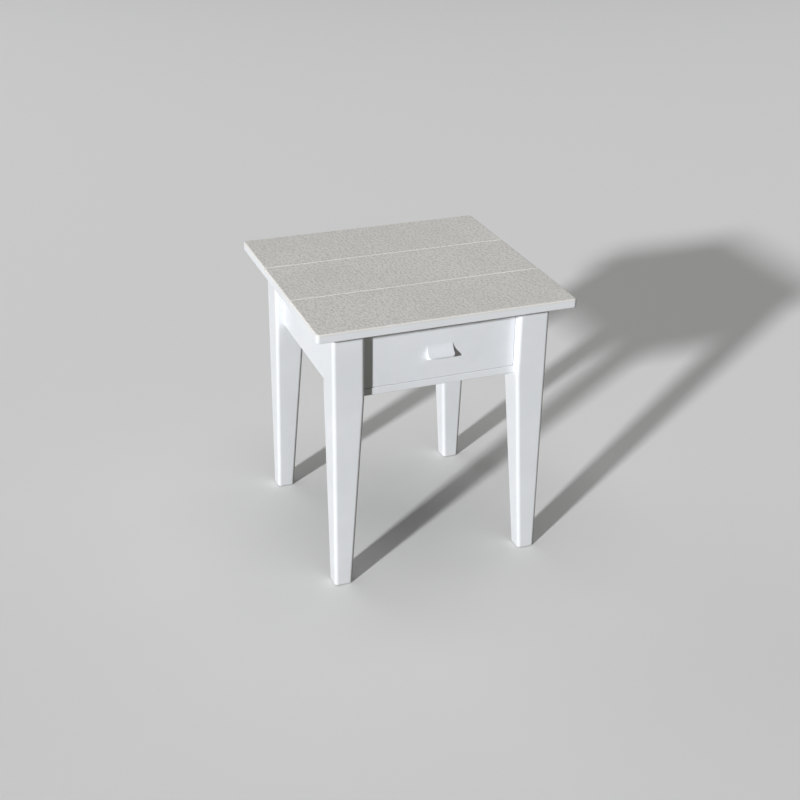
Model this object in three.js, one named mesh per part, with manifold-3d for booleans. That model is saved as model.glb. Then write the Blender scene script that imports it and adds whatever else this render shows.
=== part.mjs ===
// A miniature table with one drawer, in about one twelfth of full size.
// Units are millimetres, +Z is up and the drawer opens towards -Y. The origin is on the floor, under the
// middle of the top. Left is -X, as seen from the front.
import * as THREE from "three";
import { mergeVertices } from "three/addons/utils/BufferGeometryUtils.js";
import Module from "manifold-3d";

const wasm = await Module();
wasm.setup();

// ---- Driving dimensions -------------------------------------------------------------------------------

const HEIGHT = 62.5;

// The top: three boards with a tongue and groove between them and a narrow groove seen at each joint.
const TOP_WIDTH = 57;
const TOP_THICKNESS = 1.95;
const FRONT_BOARD = 18.6;
const MIDDLE_BOARD = 19.15;
const REAR_BOARD = 18.25;
const SEAM_WIDTH = 0.45;
const SEAM_DEPTH = 0.35;
const TONGUE_THICKNESS = 0.6;
const TONGUE_LENGTH = 1.2;
const TONGUE_STOP = 3;

// The frame: how far the top stands out past the legs, the legs, and the aprons and rails between them.
const OVERHANG_SIDES = 4.35;
const OVERHANG_ENDS = 3.55;
const LEG_SIZE = 6.95;
const FOOT_SIZE = 4.05;
const LEG_ROUND = 0.8;
const FOOT_CHAMFER = 0.2;
const APRON_HEIGHT = 15.85;
const APRON_THICKNESS = 2.2;
const SETBACK = 1.95;
const LOWER_RAIL_HEIGHT = 1.6;
const LOWER_RAIL_INSET = 0.5;
const UPPER_RAIL_HEIGHT = 2.05;
const UPPER_RAIL_INSET = 0.18;

// Tenons of the aprons and rails, which sit in mortises in the legs. The wall is what is left between two
// mortises that meet in one leg.
const MORTISE_WALL = 1;
const APRON_TENON_THICKNESS = 1;
const APRON_TENON_SHOULDER = 1.4;
const LOWER_RAIL_SHOULDER = { depth: 0.9, height: 0.25 };
const UPPER_RAIL_SHOULDER = { depth: 0.6, height: 0.475 };

// The strips that carry and guide the drawer.
const RUNNER_WIDTH = 2.2;
const RUNNER_HEIGHT = 1.2;
const STUB_LENGTH = 0.8;
const STUB_HEIGHT = 0.5;
const GUIDE_HEIGHT = 4.2;
const STOP_LENGTH = 1.3;
const STOP_HEIGHT = 3;

// The drawer.
const DRAWER_FRONT_THICKNESS = 2.1;
const DRAWER_FRONT_STEP = 0.12;
const DRAWER_SIDE_THICKNESS = 1.4;
const DRAWER_BACK_THICKNESS = 1.4;
const DRAWER_BACK_INSET = 0.6;
const DRAWER_BACK_DROP = 0.6;
const DRAWER_BOTTOM_THICKNESS = 0.8;
const DRAWER_BOTTOM_RISE = 1.05;
const HOUSING_DEPTH = 0.5;
const BOTTOM_GROOVE_DEPTH = 0.6;
const SIDE_TONGUE_THICKNESS = 0.7;
const SIDE_TONGUE_LENGTH = 0.9;
const SIDE_TONGUE_SHOULDER = 0.8;

// The pull: a short wedge with a scooped upper face, on two dowels.
const PULL_WIDTH = 5.8;
const PULL_HEIGHT = 3.4;
const PULL_REACH = 1.65;
const PULL_LIP = 0.25;
const PULL_UNDERCUT = 0.7;
const PULL_ROUND = 0.5;
const PULL_DROP = 0.85;
const DOWEL_RADIUS = 0.35;
const DOWEL_SPACING = 3.6;
const DOWEL_IN_PULL = 0.6;
const DOWEL_IN_FRONT = 1.4;

// The pins that hold the top, driven up through the kickers.
const PIN_RADIUS = 0.3;
const PIN_HEAD_RADIUS = 0.55;
const PIN_HEAD_HEIGHT = 0.3;
const PIN_IN_BOARD = 1.2;

// Clearances: glued joints, the visible slits round the drawer front, and the running fit of the drawer.
const GLUE_GAP = 0.08;
const SIDE_SLIT = 0.07;
const LOWER_SLIT = 0.07;
const UPPER_SLIT = 0.25;
const GUIDE_GAP = 0.06;
const RUNNER_GAP = 0.05;
const KICKER_GAP = 0.25;
const REAR_GAP = 0.1;
const PART_GAP = 0.1;

const ROUND_SIDES = 14;
const CORNER_STEPS = 4;
const SCOOP_STEPS = 10;
const PAST = 1; // how far a cutting shape stands out of the piece that it cuts

// ---- Levels and faces that several pieces share -------------------------------------------------------

const topDepth = FRONT_BOARD + MIDDLE_BOARD + REAR_BOARD;
const frameWidth = TOP_WIDTH - 2 * OVERHANG_SIDES;
const frameDepth = topDepth - 2 * OVERHANG_ENDS;
const frameTop = HEIGHT - TOP_THICKNESS;
const apronBottom = frameTop - APRON_HEIGHT;
const runnerTop = apronBottom + LOWER_RAIL_HEIGHT;
const runnerBottom = runnerTop - RUNNER_HEIGHT;
const kickerBottom = frameTop - UPPER_RAIL_HEIGHT;

const legInnerX = frameWidth / 2 - LEG_SIZE;
const legInnerY = frameDepth / 2 - LEG_SIZE;
const apronInnerX = frameWidth / 2 - SETBACK - APRON_THICKNESS;
const apronInnerY = frameDepth / 2 - SETBACK - APRON_THICKNESS;
const apronTenonMiddle = SETBACK + APRON_THICKNESS / 2;
const tenonLength = LEG_SIZE - apronTenonMiddle - APRON_TENON_THICKNESS / 2 - MORTISE_WALL;
const railFrontY = -frameDepth / 2 + SETBACK;
const lowerRailBackY = -legInnerY - LOWER_RAIL_INSET;

const frontJointY = -topDepth / 2 + FRONT_BOARD;
const rearJointY = frontJointY + MIDDLE_BOARD;

const drawerFaceY = railFrontY + DRAWER_FRONT_STEP;
const drawerFrontBackY = drawerFaceY + DRAWER_FRONT_THICKNESS;
const drawerHalfWidth = legInnerX - SIDE_SLIT - GUIDE_GAP;
const guideFaceX = drawerHalfWidth + GUIDE_GAP;
const runnerX = [-guideFaceX, -guideFaceX + RUNNER_WIDTH];
const drawerInnerX = drawerHalfWidth - DRAWER_SIDE_THICKNESS;
const drawerRearY = apronInnerY - STOP_LENGTH - REAR_GAP;
const drawerBackRearY = drawerRearY - DRAWER_BACK_INSET;
const sideBottom = runnerTop + RUNNER_GAP;
const sideTop = kickerBottom - KICKER_GAP;
const bottomPanelLow = sideBottom + DRAWER_BOTTOM_RISE;
const bottomPanelHigh = bottomPanelLow + DRAWER_BOTTOM_THICKNESS;
const frontPanelLow = runnerTop + LOWER_SLIT;
const frontPanelHigh = frameTop - UPPER_SLIT;
const upperRailFrontY = drawerFrontBackY + PART_GAP;
const upperRailBackY = -legInnerY - UPPER_RAIL_INSET;

const pullMiddleZ = (frontPanelLow + frontPanelHigh) / 2 - PULL_DROP;
const pullLowZ = pullMiddleZ - PULL_HEIGHT / 2;
const dowelZ = pullLowZ + PULL_UNDERCUT + PULL_LIP / 2;

const pinX = (guideFaceX + apronInnerX) / 2;
const kickerHalfLength = legInnerY - PART_GAP;
const pinRows = {
  front: (frontJointY - kickerHalfLength) / 2,
  middle: (frontJointY + rearJointY) / 2,
  rear: (rearJointY + kickerHalfLength) / 2,
};

// ---- Solids -------------------------------------------------------------------------------------------

// A closed three.js geometry as a solid that can be joined and cut.
function solidOf(geometry) {
  const bare = geometry.clone();
  bare.deleteAttribute("normal");
  bare.deleteAttribute("uv");
  const merged = mergeVertices(bare, 1e-4);
  const mesh = new wasm.Mesh({
    numProp: 3,
    vertProperties: merged.attributes.position.array,
    triVerts: new Uint32Array(merged.index.array),
  });
  return new wasm.Manifold(mesh);
}

function geometryOf(solid) {
  const mesh = solid.getMesh();
  const geometry = new THREE.BufferGeometry();
  geometry.setAttribute("position", new THREE.BufferAttribute(mesh.vertProperties, 3));
  geometry.setIndex(new THREE.BufferAttribute(mesh.triVerts, 1));
  return geometry;
}

// A box from its ranges along X, Y and Z.
function box([x0, x1], [y0, y1], [z0, z1]) {
  const geometry = new THREE.BoxGeometry(x1 - x0, y1 - y0, z1 - z0);
  return solidOf(geometry.translate((x0 + x1) / 2, (y0 + y1) / 2, (z0 + z1) / 2));
}

function cylinderAlongZ(x, y, [z0, z1], radius) {
  const geometry = new THREE.CylinderGeometry(radius, radius, z1 - z0, ROUND_SIDES);
  return solidOf(geometry.rotateX(Math.PI / 2).translate(x, y, (z0 + z1) / 2));
}

function cylinderAlongY(x, [y0, y1], z, radius) {
  const geometry = new THREE.CylinderGeometry(radius, radius, y1 - y0, ROUND_SIDES);
  return solidOf(geometry.translate(x, (y0 + y1) / 2, z));
}

// An outline of [y, z] points, drawn out along X and centred on x = 0.
function barAlongX(outline, length) {
  const shape = new THREE.Shape(outline.map(([y, z]) => new THREE.Vector2(y, z)));
  const geometry = new THREE.ExtrudeGeometry(shape, { depth: length, bevelEnabled: false });
  const turned = new THREE.Matrix4().makeBasis(
    new THREE.Vector3(0, 1, 0),
    new THREE.Vector3(0, 0, 1),
    new THREE.Vector3(1, 0, 0),
  );
  return solidOf(geometry.applyMatrix4(turned).translate(-length / 2, 0, 0));
}

// The corners of a square with rounded corners, one corner of it at [inset, inset], anticlockwise.
function roundedSquare(size, inset, radius) {
  const near = inset + radius;
  const far = size - inset - radius;
  const centres = [[far, far], [near, far], [near, near], [far, near]];
  return centres.flatMap(([x, y], corner) =>
    Array.from({ length: CORNER_STEPS + 1 }, (_, step) => {
      const angle = (corner + step / CORNER_STEPS) * (Math.PI / 2);
      return [x + radius * Math.cos(angle), y + radius * Math.sin(angle)];
    }),
  );
}

// A solid through level outlines of the same number of points, lowest first, each { z, outline }.
function loft(levels) {
  const count = levels[0].outline.length;
  const positions = levels.flatMap(({ z, outline }) => outline.flatMap(([x, y]) => [x, y, z]));
  const faces = [];
  for (let level = 0; level + 1 < levels.length; level++) {
    for (let i = 0; i < count; i++) {
      const next = (i + 1) % count;
      const low = level * count;
      const high = low + count;
      faces.push(low + i, low + next, high + next, low + i, high + next, high + i);
    }
  }
  const last = (levels.length - 1) * count;
  for (let i = 1; i + 1 < count; i++) {
    faces.push(0, i + 1, i, last, last + i, last + i + 1);
  }
  const geometry = new THREE.BufferGeometry();
  geometry.setAttribute("position", new THREE.Float32BufferAttribute(positions, 3));
  geometry.setIndex(faces);
  return solidOf(geometry);
}

const join = (...solids) => solids.reduce((whole, piece) => whole.add(piece));
const cut = (solid, ...tools) => tools.reduce((whole, tool) => whole.subtract(tool), solid);
const centred = (middle, size) => [middle - size / 2, middle + size / 2];
const widened = ([low, high], gap) => [low - gap, high + gap];

// ---- Materials and placing ----------------------------------------------------------------------------

const paint = (color, roughness) => new THREE.MeshStandardMaterial({ color, roughness, metalness: 0 });
const materials = {
  top: paint(0xeceae6, 0.62),
  legs: paint(0xf2f3f4, 0.5),
  frame: paint(0xeff1f2, 0.5),
  drawer: paint(0xeef0f1, 0.5),
  inside: paint(0xe8e8e4, 0.6),
  pull: paint(0xf2f3f4, 0.45),
  pins: new THREE.MeshStandardMaterial({ color: 0xb9bbbd, roughness: 0.35, metalness: 1 }),
};

const table = new THREE.Group();
const drawer = new THREE.Group();
table.add(drawer);

function place(group, name, solid, material) {
  const mesh = new THREE.Mesh(geometryOf(solid), material);
  mesh.name = name;
  group.add(mesh);
  return mesh;
}

// A left piece, and its mirror image on the right.
function placePair(group, name, solid, material) {
  place(group, `${name}_left`, solid, material);
  place(group, `${name}_right`, solid, material).scale.x = -1;
}

// ---- Top ----------------------------------------------------------------------------------------------

const tongueLow = frameTop + (TOP_THICKNESS - SEAM_DEPTH - TONGUE_THICKNESS) / 2;
const tongue = [tongueLow, tongueLow + TONGUE_THICKNESS];
const seamFloor = HEIGHT - SEAM_DEPTH;
const overX = [-TOP_WIDTH / 2 - PAST, TOP_WIDTH / 2 + PAST];

// The tongues and their slots stop short of the board's ends, so the end grain shows a plain joint.
const tongueX = [-TOP_WIDTH / 2 + TONGUE_STOP, TOP_WIDTH / 2 - TONGUE_STOP];

// The rebate along a jointed edge: it is half of the narrow groove seen from above.
const seam = (y) => box(overX, centred(y, SEAM_WIDTH), [seamFloor, HEIGHT + PAST]);
const tongueOn = (y) => box(tongueX, centred(y, 2 * TONGUE_LENGTH), tongue);
const slotIn = (y) => {
  const depth = centred(y, 2 * (TONGUE_LENGTH + GLUE_GAP));
  return box(widened(tongueX, GLUE_GAP), depth, widened(tongue, GLUE_GAP));
};

// A board between two levels of Y, with the holes for its two pins.
function board(y, pinY) {
  const plank = box([-TOP_WIDTH / 2, TOP_WIDTH / 2], y, [frameTop, HEIGHT]);
  const depth = [frameTop - PAST, frameTop + PIN_IN_BOARD + GLUE_GAP];
  const holes = [-pinX, pinX].map((x) => cylinderAlongZ(x, pinY, depth, PIN_RADIUS + GLUE_GAP));
  return cut(plank, ...holes);
}

const frontBoard = cut(
  board([-topDepth / 2, frontJointY], pinRows.front),
  seam(frontJointY),
  slotIn(frontJointY),
);
const middleBoard = cut(
  join(board([frontJointY, rearJointY], pinRows.middle), tongueOn(frontJointY), tongueOn(rearJointY)),
  seam(frontJointY),
  seam(rearJointY),
);
const rearBoard = cut(
  board([rearJointY, topDepth / 2], pinRows.rear),
  seam(rearJointY),
  slotIn(rearJointY),
);
place(table, "top_board_front", frontBoard, materials.top);
place(table, "top_board_middle", middleBoard, materials.top);
place(table, "top_board_rear", rearBoard, materials.top);

// ---- Aprons and rails ---------------------------------------------------------------------------------

const apronZ = [apronBottom, frameTop];
const apronTenonZ = [apronBottom + APRON_TENON_SHOULDER, frameTop - APRON_TENON_SHOULDER];
const sideTenonX = centred(-apronInnerX - APRON_THICKNESS / 2, APRON_TENON_THICKNESS);
const rearTenonY = centred(apronInnerY + APRON_THICKNESS / 2, APRON_TENON_THICKNESS);
const betweenLegsX = [-legInnerX, legInnerX];
const betweenLegsY = [-legInnerY, legInnerY];

const lowerRailY = [railFrontY, lowerRailBackY];
const lowerRailZ = [apronBottom, runnerTop];
const lowerTenonY = widened(lowerRailY, -LOWER_RAIL_SHOULDER.depth);
const lowerTenonZ = widened(lowerRailZ, -LOWER_RAIL_SHOULDER.height);
const upperRailY = [upperRailFrontY, upperRailBackY];
const upperRailZ = [kickerBottom, frameTop];
const upperTenonY = widened(upperRailY, -UPPER_RAIL_SHOULDER.depth);
const upperTenonZ = widened(upperRailZ, -UPPER_RAIL_SHOULDER.height);

const stubX = centred(-guideFaceX + RUNNER_WIDTH / 2, RUNNER_WIDTH / 2);
const stubZ = centred((runnerBottom + runnerTop) / 2, STUB_HEIGHT);

// The slots for the runners' stubs, cut in the lower rail and the rear apron.
function stubSlots(y) {
  return [1, -1].map((side) => {
    const slotX = widened(stubX, GLUE_GAP).map((x) => side * x);
    return box(slotX.sort((a, b) => a - b), y, widened(stubZ, GLUE_GAP));
  });
}

const sideApron = join(
  box([-apronInnerX - APRON_THICKNESS, -apronInnerX], betweenLegsY, apronZ),
  box(sideTenonX, widened(betweenLegsY, tenonLength), apronTenonZ),
);
placePair(table, "apron", sideApron, materials.frame);

const rearApron = join(
  box(betweenLegsX, [apronInnerY, apronInnerY + APRON_THICKNESS], apronZ),
  box(widened(betweenLegsX, tenonLength), rearTenonY, apronTenonZ),
);
const rearSlotY = [apronInnerY - PAST, apronInnerY + STUB_LENGTH + GLUE_GAP];
place(table, "apron_rear", cut(rearApron, ...stubSlots(rearSlotY)), materials.frame);

const lowerRail = join(
  box(betweenLegsX, lowerRailY, lowerRailZ),
  box(widened(betweenLegsX, tenonLength), lowerTenonY, lowerTenonZ),
);
const frontSlotY = [lowerRailBackY - STUB_LENGTH - GLUE_GAP, lowerRailBackY + PAST];
place(table, "front_lower_rail", cut(lowerRail, ...stubSlots(frontSlotY)), materials.frame);

const upperRail = join(
  box(betweenLegsX, upperRailY, upperRailZ),
  box(widened(betweenLegsX, tenonLength), upperTenonY, upperTenonZ),
);
place(table, "front_upper_rail", upperRail, materials.inside);

// ---- Legs ---------------------------------------------------------------------------------------------

// The leg's size at a height: straight beside the aprons, and below them drawn in to the foot on the two
// inner faces. The outer corner is at x = 0, y = 0.
const legSizeAt = (z) => FOOT_SIZE + (LEG_SIZE - FOOT_SIZE) * Math.min(1, z / apronBottom);

function plainLeg() {
  const level = (z, inset) => ({
    z,
    outline: roundedSquare(legSizeAt(z), inset, LEG_ROUND - inset),
  });
  return loft([
    level(0, FOOT_CHAMFER),
    level(FOOT_CHAMFER, 0),
    level(apronBottom, 0),
    level(frameTop, 0),
  ]);
}

// A tenon's place measured from the leg's outer faces.
const fromOuterX = (range) => range.map((x) => x + frameWidth / 2);
const fromOuterY = (range) => range.map((y) => y + frameDepth / 2);
const mortiseRun = [LEG_SIZE - tenonLength - GLUE_GAP, LEG_SIZE + PAST];

// A mortise that opens towards the other leg of the same side.
function sideMortise() {
  return box(
    widened(fromOuterX(sideTenonX), GLUE_GAP),
    mortiseRun,
    widened(apronTenonZ, GLUE_GAP),
  );
}

// A mortise that opens towards the other leg of the front or the rear.
const crossMortise = (y, z) => box(mortiseRun, widened(y, GLUE_GAP), widened(z, GLUE_GAP));

const frontLeg = cut(
  plainLeg(),
  sideMortise(),
  crossMortise(fromOuterY(lowerTenonY), lowerTenonZ),
  crossMortise(fromOuterY(upperTenonY), upperTenonZ),
);
const rearTenonFromOuter = centred(apronTenonMiddle, APRON_TENON_THICKNESS);
const rearLeg = cut(plainLeg(), sideMortise(), crossMortise(rearTenonFromOuter, apronTenonZ));

// side is -1 on the left and 1 on the right; end is -1 at the front and 1 at the rear.
function placeLeg(name, solid, side, end) {
  const leg = place(table, name, solid, materials.legs);
  leg.position.set((side * frameWidth) / 2, (end * frameDepth) / 2, 0);
  leg.scale.set(-side, -end, 1);
}

placeLeg("leg_front_left", frontLeg, -1, -1);
placeLeg("leg_front_right", frontLeg, 1, -1);
placeLeg("leg_rear_left", rearLeg, -1, 1);
placeLeg("leg_rear_right", rearLeg, 1, 1);

// ---- Runners, guides, kickers and stops ---------------------------------------------------------------

const runner = join(
  box(runnerX, [lowerRailBackY, apronInnerY], [runnerBottom, runnerTop]),
  box(stubX, [lowerRailBackY - STUB_LENGTH, apronInnerY + STUB_LENGTH], stubZ),
);
placePair(table, "drawer_runner", runner, materials.inside);

const stripY = [-kickerHalfLength, kickerHalfLength];
const guideZ = [runnerBottom, runnerBottom + GUIDE_HEIGHT];
placePair(table, "drawer_guide", box([-apronInnerX, -guideFaceX], stripY, guideZ), materials.inside);

// The kicker is counterbored from below for the heads of its pins.
function kicker() {
  const strip = box([-apronInnerX, runnerX[1]], stripY, [kickerBottom, frameTop]);
  const holes = Object.values(pinRows).flatMap((y) => [
    cylinderAlongZ(-pinX, y, [kickerBottom - PAST, frameTop + PAST], PIN_RADIUS + GLUE_GAP),
    cylinderAlongZ(
      -pinX,
      y,
      [kickerBottom - PAST, kickerBottom + PIN_HEAD_HEIGHT + GLUE_GAP],
      PIN_HEAD_RADIUS + GLUE_GAP,
    ),
  ]);
  return cut(strip, ...holes);
}
placePair(table, "drawer_kicker", kicker(), materials.inside);

const stopY = [apronInnerY - STOP_LENGTH, apronInnerY];
const stop = box(runnerX, stopY, [runnerTop, runnerTop + STOP_HEIGHT]);
placePair(table, "drawer_stop", stop, materials.inside);

// ---- Pins ---------------------------------------------------------------------------------------------

// A pin with a flat head, its axis on Z and the bottom of its head at z = 0.
function pin() {
  const shank = UPPER_RAIL_HEIGHT + PIN_IN_BOARD;
  const profile = [
    [0, 0],
    [PIN_HEAD_RADIUS, 0],
    [PIN_HEAD_RADIUS, PIN_HEAD_HEIGHT],
    [PIN_RADIUS, PIN_HEAD_HEIGHT],
    [PIN_RADIUS, shank - PIN_RADIUS],
    [0, shank],
  ];
  const points = profile.map(([radius, height]) => new THREE.Vector2(radius, height));
  return solidOf(new THREE.LatheGeometry(points, ROUND_SIDES).rotateX(Math.PI / 2));
}

for (const [row, y] of Object.entries(pinRows)) {
  for (const [side, x] of [["left", -pinX], ["right", pinX]]) {
    place(table, `top_pin_${row}_${side}`, pin(), materials.pins).position.set(x, y, kickerBottom);
  }
}

// ---- Drawer -------------------------------------------------------------------------------------------

const sideTongueZ = [sideBottom + SIDE_TONGUE_SHOULDER, sideTop - SIDE_TONGUE_SHOULDER];
const sideTongueX = centred(-drawerInnerX - DRAWER_SIDE_THICKNESS / 2, SIDE_TONGUE_THICKNESS);
const bottomGrooveZ = widened([bottomPanelLow, bottomPanelHigh], GLUE_GAP);
const bottomHalfWidth = drawerInnerX + BOTTOM_GROOVE_DEPTH;
const dowelXs = centred(0, DOWEL_SPACING);

function drawerFront() {
  const width = legInnerX - SIDE_SLIT;
  const panel = box([-width, width], [drawerFaceY, drawerFrontBackY], [frontPanelLow, frontPanelHigh]);
  const slotY = [drawerFrontBackY - SIDE_TONGUE_LENGTH - GLUE_GAP, drawerFrontBackY + PAST];
  const leftSlotX = widened(sideTongueX, GLUE_GAP);
  const rightSlotX = leftSlotX.map((x) => -x).reverse();
  const slots = [leftSlotX, rightSlotX].map((x) => box(x, slotY, widened(sideTongueZ, GLUE_GAP)));
  const grooveX = widened([-bottomHalfWidth, bottomHalfWidth], GLUE_GAP);
  const groove = box(grooveX, slotY, bottomGrooveZ);
  const holeY = [drawerFaceY - PAST, drawerFaceY + DOWEL_IN_FRONT + GLUE_GAP];
  const holes = dowelXs.map((x) => cylinderAlongY(x, holeY, dowelZ, DOWEL_RADIUS + GLUE_GAP));
  return cut(panel, ...slots, groove, ...holes);
}

function drawerSide() {
  const sideY = [drawerFrontBackY, drawerRearY];
  const panel = join(
    box([-drawerHalfWidth, -drawerInnerX], sideY, [sideBottom, sideTop]),
    box(sideTongueX, [drawerFrontBackY - SIDE_TONGUE_LENGTH, drawerRearY], sideTongueZ),
  );
  const grooveX = [-bottomHalfWidth - GLUE_GAP, -drawerInnerX + PAST];
  const groove = box(grooveX, widened(sideY, PAST), bottomGrooveZ);
  const housingX = [-drawerInnerX - HOUSING_DEPTH - GLUE_GAP, -drawerInnerX + PAST];
  const housingY = widened([drawerBackRearY - DRAWER_BACK_THICKNESS, drawerBackRearY], GLUE_GAP);
  const housing = box(housingX, housingY, [bottomPanelLow, sideTop + PAST]);
  return cut(panel, groove, housing);
}

function drawerBack() {
  const halfWidth = drawerInnerX + HOUSING_DEPTH;
  const backY = [drawerBackRearY - DRAWER_BACK_THICKNESS, drawerBackRearY];
  return box([-halfWidth, halfWidth], backY, [bottomPanelHigh + GLUE_GAP, sideTop - DRAWER_BACK_DROP]);
}

function drawerBottom() {
  const bottomY = [drawerFrontBackY - SIDE_TONGUE_LENGTH, drawerBackRearY];
  return box([-bottomHalfWidth, bottomHalfWidth], bottomY, [bottomPanelLow, bottomPanelHigh]);
}

place(drawer, "drawer_front", drawerFront(), materials.drawer);
placePair(drawer, "drawer_side", drawerSide(), materials.inside);
place(drawer, "drawer_back", drawerBack(), materials.inside);
place(drawer, "drawer_bottom", drawerBottom(), materials.inside);

// ---- Pull ---------------------------------------------------------------------------------------------

// The side view of the pull: the scoop runs down the drawer face and turns out to the lip.
function pullOutline() {
  const lipY = drawerFaceY - PULL_REACH;
  const lipLow = pullLowZ + PULL_UNDERCUT;
  const scoop = new THREE.QuadraticBezierCurve(
    new THREE.Vector2(drawerFaceY, pullLowZ + PULL_HEIGHT),
    new THREE.Vector2(drawerFaceY - PULL_REACH / 5, pullLowZ + PULL_HEIGHT / 2),
    new THREE.Vector2(lipY, lipLow + PULL_LIP),
  );
  const curve = scoop.getPoints(SCOOP_STEPS).map(({ x, y }) => [x, y]);
  return [...curve, [lipY, lipLow], [drawerFaceY, pullLowZ]];
}

// The plan of the pull, square at the drawer face and rounded at the corners of the lip.
function pullPlan() {
  const half = PULL_WIDTH / 2;
  const lipY = drawerFaceY - PULL_REACH;
  const plan = new THREE.Shape();
  plan.moveTo(half, drawerFaceY);
  plan.lineTo(-half, drawerFaceY);
  plan.absarc(-half + PULL_ROUND, lipY + PULL_ROUND, PULL_ROUND, Math.PI, 1.5 * Math.PI, false);
  plan.absarc(half - PULL_ROUND, lipY + PULL_ROUND, PULL_ROUND, 1.5 * Math.PI, 2 * Math.PI, false);
  const depth = PULL_HEIGHT + 2 * PAST;
  const options = { depth, bevelEnabled: false, curveSegments: CORNER_STEPS };
  return solidOf(new THREE.ExtrudeGeometry(plan, options).translate(0, 0, pullLowZ - PAST));
}

function pull() {
  const wedge = barAlongX(pullOutline(), PULL_WIDTH + 2 * PAST).intersect(pullPlan());
  const holeY = [drawerFaceY - DOWEL_IN_PULL - GLUE_GAP, drawerFaceY + PAST];
  const holes = dowelXs.map((x) => cylinderAlongY(x, holeY, dowelZ, DOWEL_RADIUS + GLUE_GAP));
  return cut(wedge, ...holes);
}

place(drawer, "drawer_pull", pull(), materials.pull);

const dowelY = [drawerFaceY - DOWEL_IN_PULL, drawerFaceY + DOWEL_IN_FRONT];
const dowel = cylinderAlongY(dowelXs[0], dowelY, dowelZ, DOWEL_RADIUS);
placePair(drawer, "pull_dowel", dowel, materials.inside);

export default table;
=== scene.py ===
"""Looks for the miniature table with one drawer: its pieces, finishes, floor, lights and camera."""
import math

import bmesh
import bpy
from mathutils import Matrix, Vector


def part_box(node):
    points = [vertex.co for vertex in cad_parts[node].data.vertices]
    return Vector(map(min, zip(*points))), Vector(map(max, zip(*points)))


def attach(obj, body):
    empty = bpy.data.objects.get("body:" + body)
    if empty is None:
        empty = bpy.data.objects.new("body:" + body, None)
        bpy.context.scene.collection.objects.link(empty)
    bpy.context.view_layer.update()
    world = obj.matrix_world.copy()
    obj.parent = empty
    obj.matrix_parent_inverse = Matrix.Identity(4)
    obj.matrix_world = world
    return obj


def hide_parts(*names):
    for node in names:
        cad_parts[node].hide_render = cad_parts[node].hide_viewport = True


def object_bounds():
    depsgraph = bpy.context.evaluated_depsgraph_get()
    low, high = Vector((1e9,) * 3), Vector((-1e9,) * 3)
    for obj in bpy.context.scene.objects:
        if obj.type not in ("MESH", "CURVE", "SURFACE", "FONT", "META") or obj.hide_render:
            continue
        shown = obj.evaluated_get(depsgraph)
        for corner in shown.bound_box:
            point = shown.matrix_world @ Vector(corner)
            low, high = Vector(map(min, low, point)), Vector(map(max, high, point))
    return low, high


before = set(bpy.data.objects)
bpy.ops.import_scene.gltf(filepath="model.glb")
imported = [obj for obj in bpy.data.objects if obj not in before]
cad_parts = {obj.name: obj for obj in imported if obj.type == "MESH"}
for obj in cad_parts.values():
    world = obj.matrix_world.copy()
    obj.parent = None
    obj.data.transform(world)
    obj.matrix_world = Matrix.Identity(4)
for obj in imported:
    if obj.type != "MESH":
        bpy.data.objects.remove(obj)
cad_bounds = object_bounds()

X, Y, Z = 0, 1, 2
MM = 0.001

# ---------------------------------------------------------------- rounded arrises, mm

CORNER_ROUND = 0.75            # upright corners of the top
TOP_EDGE_ROUND = 0.55          # upper edge of the top, all round
TOP_UNDER_ROUND = 0.16
SEAM_LIT_ROUND = 0.3           # arris behind a seam, the one that catches the light
SEAM_ROUND = 0.05
FOOT_ROUND = 0.07
APRON_ROUND = 0.2
RAIL_ROUND = 0.12
STRIP_ROUND = 0.12
FRONT_ROUND = 0.1
SIDE_TOP_ROUND = 0.35
BOX_ROUND = 0.12
PULL_END_ROUND = 0.28
PULL_ROUND = 0.12
DOWEL_ROUND = 0.06
PIN_ROUND = 0.08

SAME_FACE = math.radians(0.5)  # faces that turn less than this are one flat face
ARRIS = math.radians(35)       # an edge sharper than this is an arris
TOUCH = 0.02                   # how near a side a point counts as on it
SAME_POINT = 0.0001            # points nearer than this are one point

# ---------------------------------------------------------------- plastic

# the upper face of the top, painted darker and warmer than the body white as the shade and warm
# tint of light grazing the top
BOARD_WHITE_WITH_PAINTED_SHADE = (0.775, 0.76, 0.735)
# darker board tone for the slow clouds, and painted shade in the pits of the grain
BOARD_TONE_AND_PIT_SHADE = (0.62, 0.605, 0.58)
BODY_WHITE = (0.835, 0.856, 0.892)
BODY_SHADE = (0.775, 0.796, 0.828)
INSIDE_WHITE = (0.82, 0.83, 0.83)
INSIDE_SHADE = (0.74, 0.75, 0.75)
# dust and painted shade, laid into inner corners and creases by ambient occlusion
DUST_AND_CREASE_SHADE = (0.52, 0.5, 0.46)
BRASS = (0.78, 0.58, 0.28)
BRASS_DARK = (0.42, 0.29, 0.13)

GRAIN_SIZE = 0.55              # mm, bumps left by the print plate
PEBBLE_DEPTH = 0.085           # mm
PEBBLE_LEVEL = 0.46            # middle of the pebble height, kept level with the plate
NOISE_SHARE = 0.4              # how much of the grain is uneven, and how much round pebbles
PEBBLE_SHARE = 0.75
# how far the pits of the grain are darkened with painted shade
PIT_SHADE_SHARE = 0.75
LAYER_HEIGHT = 0.12            # mm, upright walls
BEAD_WIDTH = 0.42              # mm, flat skins
WALL_SHARE = 0.45              # how deep a layer line is beside a bead
DIAGONAL = 0.7071              # the beads lie at 45 degrees
BOARD_LINE_DEPTH = 0.012       # mm

PLASTIC_IOR = 1.46
GLOW_DEPTH = 0.35              # mm, how far light goes into the plastic
GLOW_COLOURS = (1.0, 0.85, 0.7)
CLOUD_SHARE = 0.55
LAYER_SHARE = 0.12
SMUDGE_DULLS = 0.1
WEAR_SHINES = 0.1

# ---------------------------------------------------------------- lights and floor

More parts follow.
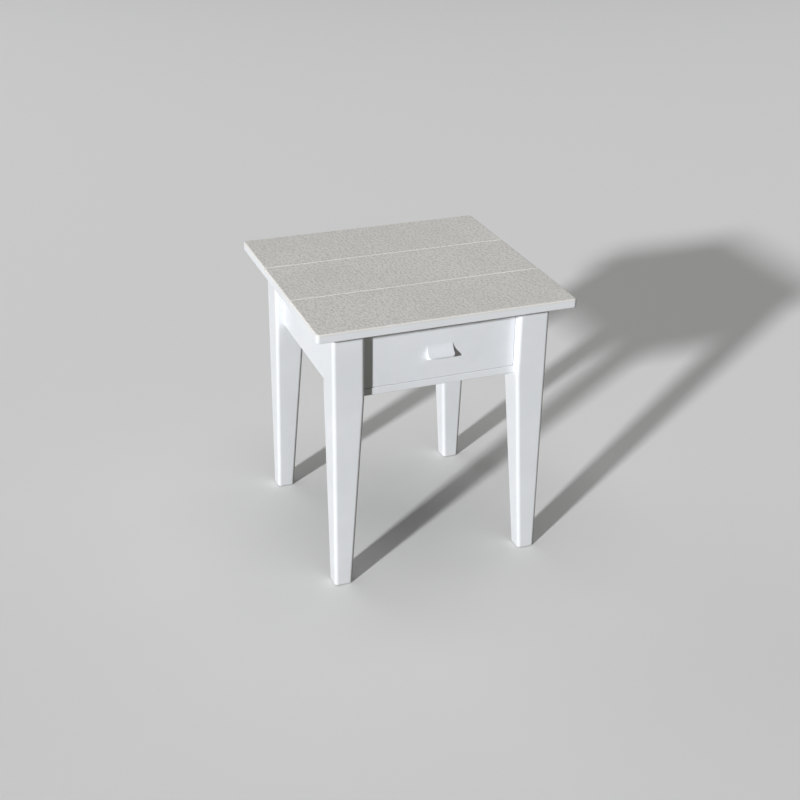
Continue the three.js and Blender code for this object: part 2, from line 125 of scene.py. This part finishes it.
KEY_TURN = 55.0                # degrees from +Y towards +X that the key light travels
KEY_RISE = 17.8
KEY_SOFTNESS = 3.5
KEY_STRENGTH = 3.74
KEY_COLOUR = (0.98, 0.99, 1.0)
FILL_TURN = 145.0              # a weak light from behind and the left
FILL_RISE = 28.0
FILL_POWER = 1.3
SIDE_TURN = -105.0             # a weaker one from the right
SIDE_RISE = 20.0
SIDE_POWER = 0.9
FILL_SIZE = 0.7
FILL_DISTANCE = 1.1            # metres, as are the sizes
FILL_COLOUR = (0.98, 0.99, 1.0)
OVERHEAD_POWER = 4.2
OVERHEAD_SIZE = 1.2
OVERHEAD_HEIGHT = 1.3
OVERHEAD_COLOUR = (1.0, 0.985, 0.955)
ROOM_COLOUR = (0.86, 0.87, 0.88)
ROOM_STRENGTH = 0.065
ROOM_SEEN = 0.62               # how bright the room looks behind the floor
FLOOR_COLOUR = (0.84, 0.845, 0.84)
FLOOR_SHADE = (0.81, 0.815, 0.81)
FLOOR_BOUNCE = (0.24, 0.225, 0.18)   # what the floor throws back at the table
FLOOR_RADIUS = 4.0             # metres
FLOOR_GAP = 0.05               # mm, below the feet

# ---------------------------------------------------------------- camera

CAMERA_LENS = 58.17            # mm
CAMERA_SENSOR = 36
CAMERA_NEAR = 0.01             # metres
CAMERA_TURN = 21.16            # degrees
CAMERA_DOWN = 27.19
CAMERA_ROLL = 0.8
CAMERA_DISTANCE = 298.4        # mm
AIM_ABOVE_FLOOR = 30.0         # mm
AIM_ACROSS = -0.03
AIM_BACK = 0.12


# ---------------------------------------------------------------- working meshes

def clean_copy(node):
    """A working mesh of a solid, in millimetres, with each flat face as one face."""
    bm = bmesh.new()
    bm.from_mesh(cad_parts[node].data)
    for v in bm.verts:
        v.co /= MM
    bmesh.ops.remove_doubles(bm, verts=bm.verts, dist=SAME_POINT)
    bmesh.ops.dissolve_limit(bm, angle_limit=SAME_FACE, verts=bm.verts, edges=bm.edges)
    return bm


def corners(node):
    """Lowest and highest corner of a solid, in millimetres."""
    low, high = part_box(node)
    return low / MM, high / MM


def runs_along(edge, axis):
    """True for an edge that runs along an axis."""
    line = edge.verts[1].co - edge.verts[0].co
    return abs(line[axis]) > 0.99 * line.length


def lies_on(edge, axis, place):
    """True for an edge that lies at one place along an axis."""
    return all(abs(v.co[axis] - place) < TOUCH for v in edge.verts)


def faces_front(edge):
    """True for the front edge of an upper face."""
    middle = (edge.verts[0].co + edge.verts[1].co) / 2
    return any(f.normal.z > 0.9 and f.calc_center_median().y > middle.y for f in edge.link_faces)


def arrises(bm, chosen):
    """The sharp edges that a rule chooses."""
    return [e for e in bm.edges
            if len(e.link_faces) == 2 and e.calc_face_angle(0) > ARRIS and chosen(e)]


def soften(bm, radius, chosen, steps=3):
    """Rounds the chosen arrises over."""
    bmesh.ops.bevel(bm, geom=arrises(bm, chosen), offset=radius, segments=steps, profile=0.5,
                    affect="EDGES", clamp_overlap=True)


def mesh_in_order(bm, name):
    """The working mesh as a mesh in metres, its points and faces always in the same order."""
    bmesh.ops.remove_doubles(bm, verts=bm.verts, dist=SAME_POINT)
    points = sorted(bm.verts, key=lambda v: tuple(round(c, 4) for c in v.co))
    number = {point: count for count, point in enumerate(points)}
    rings = []
    for face in bm.faces:
        ring = [number[v] for v in face.verts]
        start = ring.index(min(ring))
        rings.append(ring[start:] + ring[:start])
    mesh = bpy.data.meshes.new(name)
    mesh.from_pydata([v.co * MM for v in points], [], sorted(rings))
    bm.free()
    return mesh


def fit_piece(bm, node, body, material):
    """Makes the piece from a working mesh, names it after the part it stands for, hides that part
    and sets it on the body it rides on.
    """
    mesh = mesh_in_order(bm, "eased_" + node)
    mesh.materials.append(material)
    mesh.shade_smooth()
    mesh.set_sharp_from_angle(angle=ARRIS)
    piece = bpy.data.objects.new("eased_" + node, mesh)
    bpy.context.scene.collection.objects.link(piece)
    shading = piece.modifiers.new("even_shading", "WEIGHTED_NORMAL")
    shading.mode = "FACE_AREA"
    shading.weight = 50
    shading.keep_sharp = True
    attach(piece, body)
    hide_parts(node)
    return piece


# ---------------------------------------------------------------- table pieces

def make_board(node, material):
    """One board of the top: rounded outer corners and rim, crisp seam."""
    low, high = corners(node)
    left, right = cad_bounds[0][X] / MM, cad_bounds[1][X] / MM
    front, rear = cad_bounds[0][Y] / MM, cad_bounds[1][Y] / MM
    bm = clean_copy(node)

    def outer_corner(e):
        return (runs_along(e, Z) and (lies_on(e, X, left) or lies_on(e, X, right))
                and (lies_on(e, Y, front) or lies_on(e, Y, rear)))

    def on_outline(e):
        middle = (e.verts[0].co + e.verts[1].co) / 2
        return (min(middle.x - left, right - middle.x, middle.y - front, rear - middle.y)
                < CORNER_ROUND)

    soften(bm, CORNER_ROUND, outer_corner, steps=6)
    soften(bm, TOP_EDGE_ROUND, lambda e: lies_on(e, Z, high.z) and on_outline(e), steps=5)
    soften(bm, TOP_UNDER_ROUND, lambda e: lies_on(e, Z, low.z) and on_outline(e))
    soften(bm, SEAM_LIT_ROUND, lambda e: lies_on(e, Z, high.z) and runs_along(e, X)
           and faces_front(e))
    soften(bm, SEAM_ROUND, lambda e: lies_on(e, Z, high.z) and runs_along(e, X), steps=2)
    return fit_piece(bm, node, "table", material)


def make_leg(node, material):
    """A leg: its upright corners are round already, its foot is eased."""
    floor_level = corners(node)[0].z
    bm = clean_copy(node)
    soften(bm, FOOT_ROUND, lambda e: lies_on(e, Z, floor_level))
    return fit_piece(bm, node, "table", material)


def make_bar(node, body, material, axis, radius, steps=3):
    """A straight bar with its long arrises eased and its ends left tight."""
    bm = clean_copy(node)
    soften(bm, radius, lambda e: runs_along(e, axis), steps=steps)
    return fit_piece(bm, node, body, material)


def make_block(node, body, material, radius, steps=3):
    """A small block eased on every outer arris."""
    low, high = corners(node)
    bm = clean_copy(node)

    def outer(e):
        return sum(lies_on(e, a, low[a]) or lies_on(e, a, high[a]) for a in (X, Y, Z)) >= 2

    soften(bm, radius, outer, steps=steps)
    return fit_piece(bm, node, body, material)


def make_pull(node, material):
    """The scooped pull, eased everywhere except where it meets the drawer front."""
    low, high = corners(node)
    bm = clean_copy(node)

    def at_end(e):
        middle = (e.verts[0].co + e.verts[1].co) / 2
        return (min(middle.x - low.x, high.x - middle.x) < TOUCH
                and middle.y < high.y - TOUCH)

    soften(bm, PULL_END_ROUND, lambda e: at_end(e) and not lies_on(e, Y, high.y), steps=4)
    soften(bm, PULL_ROUND, lambda e: not lies_on(e, Y, high.y)
           and all(v.co.y < high.y + TOUCH for v in e.verts))
    return fit_piece(bm, node, "drawer", material)


def make_round(node, body, material, radius, steps=2):
    """A pin or dowel with eased rims."""
    bm = clean_copy(node)
    soften(bm, radius, lambda e: True, steps=steps)
    return fit_piece(bm, node, body, material)


# ---------------------------------------------------------------- node helpers

def add(tree, kind, inputs=None, **settings):
    """Places a node. An input is a value, or a socket to link from."""
    made = tree.nodes.new(kind)
    for key, value in settings.items():
        setattr(made, key, value)
    for key, value in (inputs or {}).items():
        if isinstance(value, bpy.types.NodeSocket):
            tree.links.new(value, made.inputs[key])
        else:
            made.inputs[key].default_value = value
    return made


def maths(tree, operation, a, b=0.0, c=0.0):
    made = add(tree, "ShaderNodeMath", {0: a, 1: b, 2: c}, operation=operation)
    return made.outputs[0]


def spread(tree, value, low, high, out_low=0.0, out_high=1.0, kind="SMOOTHSTEP"):
    """Maps a range of a value to another range, held at both ends."""
    made = add(tree, "ShaderNodeMapRange",
               {"Value": value, "From Min": low, "From Max": high,
                "To Min": out_low, "To Max": out_high}, interpolation_type=kind)
    return made.outputs["Result"]


def blend(tree, share, first, second):
    made = add(tree, "ShaderNodeMix", data_type="RGBA", blend_type="MIX")
    for key, value in ((0, share), (6, first), (7, second)):
        if isinstance(value, bpy.types.NodeSocket):
            tree.links.new(value, made.inputs[key])
        else:
            made.inputs[key].default_value = value if key == 0 else (*value, 1)
    return made.outputs[2]


def millimetres(tree):
    """The object's own coordinates, in millimetres."""
    place = add(tree, "ShaderNodeTexCoord")
    return add(tree, "ShaderNodeVectorMath",
               {0: place.outputs["Object"], "Scale": 1 / MM}, operation="SCALE").outputs[0]


def new_group(name, inputs, outputs):
    tree = bpy.data.node_groups.new(name, "ShaderNodeTree")
    for label, value in inputs.items():
        tree.interface.new_socket(label, in_out="INPUT",
                                  socket_type="NodeSocketFloat").default_value = value
    for label in outputs:
        tree.interface.new_socket(label, in_out="OUTPUT", socket_type="NodeSocketFloat")
    return tree, tree.nodes.new("NodeGroupInput").outputs, tree.nodes.new("NodeGroupOutput")


def put_out(tree, end, **values):
    for label, value in values.items():
        tree.links.new(value, end.inputs[label.replace("_", " ")])


# ---------------------------------------------------------------- shared effects

def plate_grain_group():
    """The pebbled face that a textured print plate leaves."""
    tree, given, end = new_group("plate_grain", {"Grain Size": GRAIN_SIZE, "Plate Level": 62.5},
                                 ("Height", "Pits", "On Plate", "Near Plate"))
    place = millimetres(tree)
    step = maths(tree, "DIVIDE", 1.0, given["Grain Size"])
    small = add(tree, "ShaderNodeVectorMath", {0: place, "Scale": step},
                operation="SCALE").outputs[0]
    pebbles = add(tree, "ShaderNodeTexNoise", {"Vector": small, "Scale": 1.0, "Detail": 2.0,
                                               "Roughness": 0.5, "Distortion": 0.2})
    cells = add(tree, "ShaderNodeTexVoronoi", {"Vector": small, "Scale": 1.0, "Smoothness": 0.6},
                feature="SMOOTH_F1")
    bumps = maths(tree, "SUBTRACT", 0.8, cells.outputs["Distance"])
    height = maths(tree, "MULTIPLY_ADD", pebbles.outputs[0], NOISE_SHARE,
                   maths(tree, "MULTIPLY", bumps, PEBBLE_SHARE))
    pits = spread(tree, height, 0.5, 0.3)
    level = add(tree, "ShaderNodeSeparateXYZ", {0: place}).outputs["Z"]
    below = maths(tree, "SUBTRACT", given["Plate Level"], level)
    put_out(tree, end, Height=height, Pits=pits, On_Plate=spread(tree, below, 0.12, 0.03),
            Near_Plate=spread(tree, below, 0.6, 0.25))
    return tree


def print_lines_group():
    """Fine layer lines on upright walls, and diagonal beads on flat skins."""
    tree, given, end = new_group("print_lines", {"Layer Height": LAYER_HEIGHT,
                                                 "Bead Width": BEAD_WIDTH, "Wander": 0.03},
                                 ("Height", "Tone", "Flat Skin"))
    place = millimetres(tree)
    split = add(tree, "ShaderNodeSeparateXYZ", {0: place})
    drift = add(tree, "ShaderNodeTexNoise", {"Vector": place, "Scale": 0.35, "Detail": 1.0})
    shift = maths(tree, "MULTIPLY", drift.outputs[0], given["Wander"])
    level = maths(tree, "ADD", split.outputs["Z"], shift)
    layer = maths(tree, "DIVIDE", level, given["Layer Height"])
    ridge = maths(tree, "PINGPONG", layer, 0.5)
    across = maths(tree, "MULTIPLY", maths(tree, "ADD", split.outputs["X"], split.outputs["Y"]),
                   DIAGONAL)
    bead = maths(tree, "DIVIDE", across, given["Bead Width"])
    hump = maths(tree, "PINGPONG", bead, 0.5)
    surface = add(tree, "ShaderNodeNewGeometry")
    facing = add(tree, "ShaderNodeSeparateXYZ", {0: surface.outputs["Normal"]})
    skin = spread(tree, maths(tree, "ABSOLUTE", facing.outputs["Z"]), 0.6, 0.9)
    both = add(tree, "ShaderNodeMix",
               {0: skin, 2: maths(tree, "MULTIPLY", ridge, WALL_SHARE), 3: hump})
    each = add(tree, "ShaderNodeTexWhiteNoise", {"W": maths(tree, "FLOOR", layer)},
               noise_dimensions="1D")
    put_out(tree, end, Height=both.outputs[0], Tone=each.outputs["Value"], Flat_Skin=skin)
    return tree


def edge_and_crease_group():
    """Where handling polishes the arrises, and how closed in the inner corners are, where the
    plastics get dust and painted shade.
    """
    tree, given, end = new_group("edge_and_crease", {"Edge Width": 0.35, "Crease Reach": 1.4},
                                 ("Edge", "Crease"))
    rounded = add(tree, "ShaderNodeBevel",
                  {"Radius": maths(tree, "MULTIPLY", given["Edge Width"], MM)}, samples=6)
    surface = add(tree, "ShaderNodeNewGeometry")
    same = add(tree, "ShaderNodeVectorMath", {0: rounded.outputs[0], 1: surface.outputs["Normal"]},
               operation="DOT_PRODUCT").outputs["Value"]
    open_sky = add(tree, "ShaderNodeAmbientOcclusion",
                   {"Distance": maths(tree, "MULTIPLY", given["Crease Reach"], MM)}, samples=8)
    crease = spread(tree, open_sky.outputs["AO"], 0.75, 0.25)
    bent = spread(tree, same, 0.98, 0.8)
    put_out(tree, end, Edge=maths(tree, "MULTIPLY", bent, maths(tree, "SUBTRACT", 1.0, crease)),
            Crease=crease)
    return tree


def handling_group():
    """Slow clouds in the white of the plastic, and faint smudges in its gloss."""
    tree, given, end = new_group("handling", {"Cloud Size": 9.0, "Smudge Size": 2.4},
                                 ("Cloud", "Smudge"))
    place = millimetres(tree)
    cloud = add(tree, "ShaderNodeTexNoise",
                {"Vector": place, "Scale": maths(tree, "DIVIDE", 1.0, given["Cloud Size"]),
                 "Detail": 2.0})
    smudge = add(tree, "ShaderNodeTexNoise",
                 {"Vector": place, "Scale": maths(tree, "DIVIDE", 1.0, given["Smudge Size"]),
                  "Detail": 4.0, "Roughness": 0.6, "Distortion": 0.8})
    put_out(tree, end, Cloud=spread(tree, cloud.outputs[0], 0.3, 0.7),
            Smudge=spread(tree, smudge.outputs[0], 0.45, 0.72))
    return tree


def place_group(tree, group, **values):
    """Places a shared effect in a material, with that material's own values."""
    made = tree.nodes.new("ShaderNodeGroup")
    made.node_tree = group
    for label, value in values.items():
        made.inputs[label.replace("_", " ")].default_value = value
    return made.outputs


# ---------------------------------------------------------------- materials

def new_material(name):
    material = bpy.data.materials.new(name)
    material.use_nodes = True
    tree = material.node_tree
    return material, tree, tree.nodes["Principled BSDF"]


def bump_from(tree, shader, height, distance, strength=1.0):
    """Links a height to the shader's normal. The distance is in millimetres."""
    bump = add(tree, "ShaderNodeBump", {"Height": height, "Distance": distance * MM,
                                        "Strength": strength})
    tree.links.new(bump.outputs[0], shader.inputs["Normal"])


def set_plastic(shader, gloss, softness):
    """What is the same all over a plastic piece."""
    shader.inputs["IOR"].default_value = PLASTIC_IOR
    shader.inputs["Specular IOR Level"].default_value = gloss
    shader.inputs["Subsurface Weight"].default_value = softness
    shader.inputs["Subsurface Radius"].default_value = GLOW_COLOURS
    shader.inputs["Subsurface Scale"].default_value = GLOW_DEPTH * MM


def white_plastic(name, white, shade, rough, layer_depth, dust_and_shade=0.2, gloss=0.5):
    """Smooth printed plastic: layer lines, clouds, smudges, polished arrises, dust and painted
    shade in the corners.
    """
    material, tree, shader = new_material(name)
    set_plastic(shader, gloss, 0.08)
    lines = place_group(tree, effects["print_lines"])
    marks = place_group(tree, effects["handling"])
    ends = place_group(tree, effects["edge_and_crease"])
    colour = blend(tree, maths(tree, "MULTIPLY", marks["Cloud"], CLOUD_SHARE), white, shade)
    colour = blend(tree, maths(tree, "MULTIPLY", lines["Tone"], LAYER_SHARE), colour, shade)
    # dust and painted shade darken the inner corners and creases
    colour = blend(tree, maths(tree, "MULTIPLY", ends["Crease"], dust_and_shade), colour, DUST_AND_CREASE_SHADE)
    tree.links.new(colour, shader.inputs["Base Color"])
    dull = maths(tree, "MULTIPLY_ADD", marks["Smudge"], SMUDGE_DULLS, rough)
    dull = maths(tree, "MULTIPLY_ADD", ends["Edge"], -WEAR_SHINES, dull)
    tree.links.new(dull, shader.inputs["Roughness"])
    bump_from(tree, shader, lines["Height"], layer_depth)
    return material


def board_plastic():
    """The top: pebbled where it lay on the plate, layered on its edges, its upper face painted
    darker and warmer than the body as shade and warm light, its pits painted with shade.
    """
    material, tree, shader = new_material("pebbled_board_plastic")
    set_plastic(shader, 0.35, 0.06)
    grain = place_group(tree, effects["plate_grain"], Plate_Level=cad_bounds[1][Z] / MM)
    lines = place_group(tree, effects["print_lines"])
    marks = place_group(tree, effects["handling"], Cloud_Size=14.0)
    ends = place_group(tree, effects["edge_and_crease"], Crease_Reach=0.5)
    body = blend(tree, maths(tree, "MULTIPLY", marks["Cloud"], 0.5), BODY_WHITE, BODY_SHADE)
    face = blend(tree, maths(tree, "MULTIPLY", marks["Cloud"], 0.25), BOARD_WHITE_WITH_PAINTED_SHADE, BOARD_TONE_AND_PIT_SHADE)
    # painted shade in the pits of the grain, on the plate face only
    pit_shade = maths(tree, "MULTIPLY", grain["Pits"], grain["On Plate"])
    face = blend(tree, maths(tree, "MULTIPLY", pit_shade, PIT_SHADE_SHARE), face, BOARD_TONE_AND_PIT_SHADE)
    # within about half a millimetre of the plate level the board white with its painted shade and
    # warm light, lower down the body white
    colour = blend(tree, grain["Near Plate"], body, face)
    # dust and painted shade darken the seams and inner corners
    colour = blend(tree, maths(tree, "MULTIPLY", ends["Crease"], 0.15), colour, DUST_AND_CREASE_SHADE)
    tree.links.new(colour, shader.inputs["Base Color"])
    dull = maths(tree, "MULTIPLY_ADD", grain["On Plate"], 0.2, 0.45)
    dull = maths(tree, "MULTIPLY_ADD", marks["Smudge"], 0.08, dull)
    tree.links.new(dull, shader.inputs["Roughness"])
    level = maths(tree, "SUBTRACT", grain["Height"], PEBBLE_LEVEL)
    raised = maths(tree, "MULTIPLY", level, PEBBLE_DEPTH)
    lined = maths(tree, "MULTIPLY", lines["Height"], BOARD_LINE_DEPTH)
    height = add(tree, "ShaderNodeMix", {0: grain["On Plate"], 2: lined, 3: raised}).outputs[0]
    bump_from(tree, shader, height, 1.0)
    return material


def leg_plastic():
    return white_plastic("leg_plastic", BODY_WHITE, BODY_SHADE, 0.42, 0.012)


def frame_plastic():
    return white_plastic("apron_plastic", BODY_WHITE, BODY_SHADE, 0.46, 0.014)


def strip_plastic():
    return white_plastic("inner_strip_plastic", INSIDE_WHITE, INSIDE_SHADE, 0.52, 0.018, dust_and_shade=0.35)


def drawer_front_plastic():
    return white_plastic("drawer_front_plastic", BODY_WHITE, BODY_SHADE, 0.44, 0.012, dust_and_shade=0.15)


def drawer_box_plastic():
    return white_plastic("drawer_box_plastic", INSIDE_WHITE, INSIDE_SHADE, 0.5, 0.018, dust_and_shade=0.3)


def pull_plastic():
    return white_plastic("pull_plastic", BODY_WHITE, BODY_SHADE, 0.36, 0.008, dust_and_shade=0.1, gloss=0.6)


def dowel_plastic():
    return white_plastic("dowel_plastic", INSIDE_WHITE, INSIDE_SHADE, 0.5, 0.01)


def pin_brass():
    """Small brass pins: fine turned rings, a little tarnish."""
    material, tree, shader = new_material("pin_brass")
    shader.inputs["Metallic"].default_value = 1.0
    marks = place_group(tree, effects["handling"], Cloud_Size=0.5, Smudge_Size=0.2)
    lines = place_group(tree, effects["print_lines"], Layer_Height=0.05, Bead_Width=0.06,
                        Wander=0.2)
    ends = place_group(tree, effects["edge_and_crease"], Edge_Width=0.1, Crease_Reach=0.4)
    worn = maths(tree, "MULTIPLY", maths(tree, "MAXIMUM", marks["Cloud"], ends["Crease"]), 0.6)
    tree.links.new(blend(tree, worn, BRASS, BRASS_DARK), shader.inputs["Base Color"])
    dull = maths(tree, "MULTIPLY_ADD", marks["Smudge"], 0.2, 0.28)
    tree.links.new(dull, shader.inputs["Roughness"])
    bump_from(tree, shader, lines["Height"], 0.004)
    return material


def floor_paint():
    """Pale paint that looks paler than the light it throws back, so that shade stays deep."""
    material, tree, shader = new_material("pale_floor_paint")
    cloud = add(tree, "ShaderNodeTexNoise", {"Scale": 9.0, "Detail": 3.0})
    seen = blend(tree, cloud.outputs[0], FLOOR_COLOUR, FLOOR_SHADE)
    ray = add(tree, "ShaderNodeLightPath")
    colour = blend(tree, ray.outputs["Is Camera Ray"], FLOOR_BOUNCE, seen)
    tree.links.new(colour, shader.inputs["Base Color"])
    shader.inputs["Roughness"].default_value = 0.8
    shader.inputs["Specular IOR Level"].default_value = 0.2
    return material


# ---------------------------------------------------------------- staging

def link_new(name, data):
    made = bpy.data.objects.new(name, data)
    bpy.context.scene.collection.objects.link(made)
    return made


def make_floor():
    """A round pale floor just under the feet."""
    bm = bmesh.new()
    bmesh.ops.create_circle(bm, cap_ends=True, segments=96, radius=FLOOR_RADIUS)
    mesh = bpy.data.meshes.new("pale_floor")
    bm.to_mesh(mesh)
    bm.free()
    mesh.materials.append(floor_paint())
    floor = link_new("pale_floor", mesh)
    floor.location.z = cad_bounds[0][Z] - FLOOR_GAP * MM


def heading(turn, down):
    """A unit direction, from degrees turned from +Y towards +X and degrees downwards."""
    turn, down = math.radians(turn), math.radians(down)
    level = math.cos(down)
    return Vector((math.sin(turn) * level, math.cos(turn) * level, -math.sin(down)))


def make_lamp(name, travel, distance, size, power, colour):
    """A round soft lamp that shines at the table from a distance."""
    data = bpy.data.lights.new(name, "AREA")
    data.shape, data.size, data.energy, data.color = "DISK", size, power, colour
    lamp = link_new(name, data)
    lamp.location = -travel * distance
    lamp.rotation_euler = travel.to_track_quat("-Z", "Y").to_euler()


def make_lights():
    """A low key light, two weak soft lamps from behind, one overhead, and a dim pale room."""
    key = bpy.data.lights.new("key_light", "SUN")
    key.energy, key.angle, key.color = KEY_STRENGTH, math.radians(KEY_SOFTNESS), KEY_COLOUR
    travel = heading(KEY_TURN, KEY_RISE)
    link_new("key_light", key).rotation_euler = travel.to_track_quat("-Z", "Y").to_euler()
    make_lamp("fill_light", heading(FILL_TURN, FILL_RISE), FILL_DISTANCE, FILL_SIZE, FILL_POWER,
              FILL_COLOUR)
    make_lamp("side_light", heading(SIDE_TURN, SIDE_RISE), FILL_DISTANCE, FILL_SIZE, SIDE_POWER,
              FILL_COLOUR)
    make_lamp("overhead_light", Vector((0, 0, -1)), OVERHEAD_HEIGHT, OVERHEAD_SIZE, OVERHEAD_POWER,
              OVERHEAD_COLOUR)
    world = bpy.data.worlds.new("pale_room")
    world.use_nodes = True
    background = world.node_tree.nodes["Background"]
    background.inputs["Color"].default_value = (*ROOM_COLOUR, 1)
    seen = add(world.node_tree, "ShaderNodeLightPath").outputs["Is Camera Ray"]
    strength = maths(world.node_tree, "MULTIPLY_ADD", seen, ROOM_SEEN - ROOM_STRENGTH,
                     ROOM_STRENGTH)
    world.node_tree.links.new(strength, background.inputs["Strength"])
    bpy.context.scene.world = world


def make_camera():
    """A camera in front, to the left and above, that looks at the middle of the table."""
    middle = (Vector(cad_bounds[0]) + Vector(cad_bounds[1])) / 2
    aim = Vector((middle.x + AIM_ACROSS * MM, middle.y + AIM_BACK * MM,
                  cad_bounds[0][Z] + AIM_ABOVE_FLOOR * MM))
    view = heading(CAMERA_TURN, CAMERA_DOWN)
    lens = bpy.data.cameras.new("camera")
    lens.lens, lens.sensor_width, lens.clip_start = CAMERA_LENS, CAMERA_SENSOR, CAMERA_NEAR
    camera = link_new("camera", lens)
    camera.location = aim - view * CAMERA_DISTANCE * MM
    level = view.to_track_quat("-Z", "Y").to_matrix()
    camera.rotation_euler = (level @ Matrix.Rotation(math.radians(CAMERA_ROLL), 3, "Z")).to_euler()
    bpy.context.scene.camera = camera


# ---------------------------------------------------------------- the table

make_camera()
make_lights()
make_floor()
bpy.context.scene.view_settings.view_transform = "Standard"

effects = {"plate_grain": plate_grain_group(), "print_lines": print_lines_group(),
           "edge_and_crease": edge_and_crease_group(), "handling": handling_group()}

boards = board_plastic()
for part in ("front", "middle", "rear"):
    make_board(f"top_board_{part}", boards)

legs = leg_plastic()
for end in ("front", "rear"):
    for side in ("left", "right"):
        make_leg(f"leg_{end}_{side}", legs)

frame_bars = frame_plastic()
make_bar("apron_left", "table", frame_bars, Y, APRON_ROUND)
make_bar("apron_right", "table", frame_bars, Y, APRON_ROUND)
make_bar("apron_rear", "table", frame_bars, X, APRON_ROUND)
make_bar("front_lower_rail", "table", frame_bars, X, RAIL_ROUND)

strips = strip_plastic()
make_bar("front_upper_rail", "table", strips, X, STRIP_ROUND)
for side in ("left", "right"):
    for part in ("runner", "guide", "kicker"):
        make_bar(f"drawer_{part}_{side}", "table", strips, Y, STRIP_ROUND)
    make_block(f"drawer_stop_{side}", "table", strips, STRIP_ROUND)

pins = pin_brass()
for part in ("front", "middle", "rear"):
    for side in ("left", "right"):
        make_round(f"top_pin_{part}_{side}", "table", pins, PIN_ROUND)

make_block("drawer_front", "drawer", drawer_front_plastic(), FRONT_ROUND)
box_plastic = drawer_box_plastic()
for side in ("left", "right"):
    make_bar(f"drawer_side_{side}", "drawer", box_plastic, Y, SIDE_TOP_ROUND, steps=4)
make_bar("drawer_back", "drawer", box_plastic, X, BOX_ROUND)
make_bar("drawer_bottom", "drawer", box_plastic, X, BOX_ROUND)
make_pull("drawer_pull", pull_plastic())
dowels = dowel_plastic()
for side in ("left", "right"):
    make_round(f"pull_dowel_{side}", "drawer", dowels, DOWEL_ROUND)
